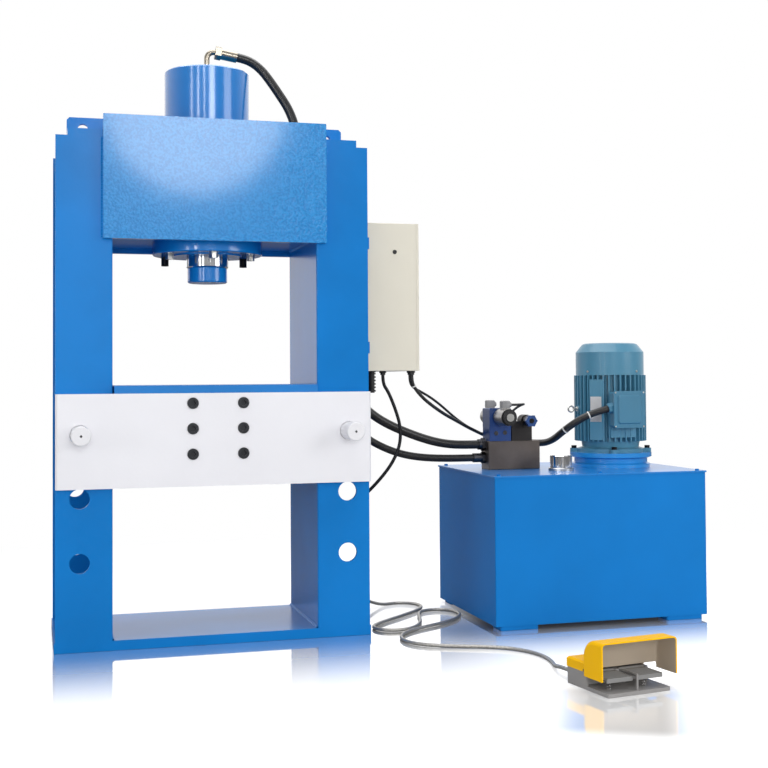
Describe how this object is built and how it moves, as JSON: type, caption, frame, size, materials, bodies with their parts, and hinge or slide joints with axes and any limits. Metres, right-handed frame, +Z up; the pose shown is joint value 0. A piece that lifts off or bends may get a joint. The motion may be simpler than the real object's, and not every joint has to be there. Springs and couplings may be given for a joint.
{
  "type": "hydraulic press",
  "caption": "Two-column hydraulic workshop press with pinned height-set bed, control cabinet, separate motor-driven power pack and guarded double foot switch.",
  "frame": {"origin": "on the floor under the ram axis", "axes": "+X to the right towards the power pack, -Y the operator's side, +Z up along the ram axis"},
  "size_m": [2.277, 1.5551, 2.0413],
  "materials": {
    "press_blue": "satin orange-peel paint",
    "bed_white": "satin",
    "bright_steel": "turned",
    "chromed_steel": "polished",
    "black_steel": "black oxide",
    "cabinet_paint": "fine texture",
    "zinc_steel": "zinc plated",
    "black_plastic": "matte",
    "hose_rubber": "matte",
    "armoured_lead": "ribbed",
    "tank_paint": "satin",
    "motor_paint": "satin",
    "ring_blue": "gloss",
    "pedal_grey": "satin",
    "guard_yellow": "satin",
    "valve_blue": "satin",
    "grey_plastic": "matte",
    "spring_steel": "bright"
  },
  "bodies": {
    "frame": {"base_plate": "press_blue", "left_column": "press_blue", "right_column": "press_blue", "head_front_plate": "press_blue", "head_rear_plate": "press_blue", "head_bottom_plate": "press_blue", "column_tops": "press_blue", "cylinder_barrel": "press_blue", "cylinder_gland": "press_blue", "table_plate": "press_blue", "cabinet_rails": "press_blue", "bed_front_plate": "bed_white", "bed_rear_plate": "bed_white", "bed_spacers": "bed_white", "top_elbow": "bright_steel", "hose_ends": "bright_steel", "bed_screws": "black_steel", "head_bolts": "black_steel", "motor_fasteners": "black_steel", "manifold_block": "black_steel", "relief_valve": "black_steel", "sandwich_plate": "valve_blue", "valve_body": "valve_blue", "coil_plugs": "grey_plastic", "cabinet_body": "cabinet_paint", "door_hinges": "cabinet_paint", "filler_neck": "zinc_steel", "solenoids": "zinc_steel", "cable_glands": "black_plastic", "top_hose": "hose_rubber", "rod_hose": "hose_rubber", "power_lead": "hose_rubber", "valve_lead": "hose_rubber", "motor_conduit": "hose_rubber", "pedal_lead": "armoured_lead", "tank_body": "tank_paint", "tank_lid": "tank_paint", "lid_screws": "tank_paint", "pump": "tank_paint", "motor_body": "motor_paint", "motor_cowl": "motor_paint", "terminal_box": "motor_paint", "motor_ring": "ring_blue", "pedal_base": "pedal_grey", "pedal_guard": "guard_yellow", "left_spring": "spring_steel", "right_spring": "spring_steel"},
    "ram": {"piston_rod": "chromed_steel", "ram_head": "press_blue"},
    "left_pin_body": {"left_pin": "bed_white"},
    "right_pin_body": {"right_pin": "bed_white"},
    "door": {"cabinet_door": "cabinet_paint"},
    "lock": {"door_lock": "zinc_steel"},
    "rotor": {"motor_rotor": "bright_steel", "motor_fan": "black_plastic", "pump_coupling": "bright_steel"},
    "relief_handle": {"relief_knob": "valve_blue"},
    "filler": {"filler_cap": "chromed_steel"},
    "left_pedal": {"left_treadle": "pedal_grey"},
    "right_pedal": {"right_treadle": "pedal_grey"}
  },
  "joints": [
    {"name": "ram_slide", "type": "slide", "parent": "frame", "child": "ram", "axis": [0, 0, -1], "range_m": [0, 0.3]},
    {"name": "left_pin_slide", "type": "slide", "parent": "frame", "child": "left_pin_body", "axis": [0, -1, 0], "range_m": [0, 0.54]},
    {"name": "right_pin_slide", "type": "slide", "parent": "frame", "child": "right_pin_body", "axis": [0, -1, 0], "range_m": [0, 0.54]},
    {"name": "door_hinge", "type": "hinge", "parent": "frame", "child": "door", "pos_m": [0.718, 0.229, 0.895], "axis": [0, 0, 1], "range_deg": [0, 110]},
    {"name": "lock_turn", "type": "hinge", "parent": "door", "child": "lock", "pos_m": [0.724, -0.128, 1.154], "axis": [1, 0, 0], "range_deg": [0, 90]},
    {"name": "rotor_spin", "type": "hinge", "parent": "frame", "child": "rotor", "pos_m": [1.54, 0.02, 0.7], "axis": [0, 0, 1], "continuous": true},
    {"name": "relief_turn", "type": "hinge", "parent": "frame", "child": "relief_handle", "pos_m": [1.185, -0.062, 0.709], "axis": [0, 1, 0], "range_deg": [-540, 540]},
    {"name": "filler_turn", "type": "hinge", "parent": "frame", "child": "filler", "pos_m": [1.27, -0.13, 0.56], "axis": [0, 0, 1], "range_deg": [0, 60]},
    {"name": "left_treadle_hinge", "type": "hinge", "parent": "frame", "child": "left_pedal", "pos_m": [0.89417, -1.1394, 0.042], "axis": [0.9877, 0.1564, 0], "range_deg": [0, 6], "stiffness_Nm_per_rad": 8, "deforming": ["left_spring"]},
    {"name": "right_treadle_hinge", "type": "hinge", "parent": "frame", "child": "right_pedal", "pos_m": [0.89417, -1.1394, 0.042], "axis": [0.9877, 0.1564, 0], "range_deg": [0, 6], "stiffness_Nm_per_rad": 8, "deforming": ["right_spring"]}
  ]
}
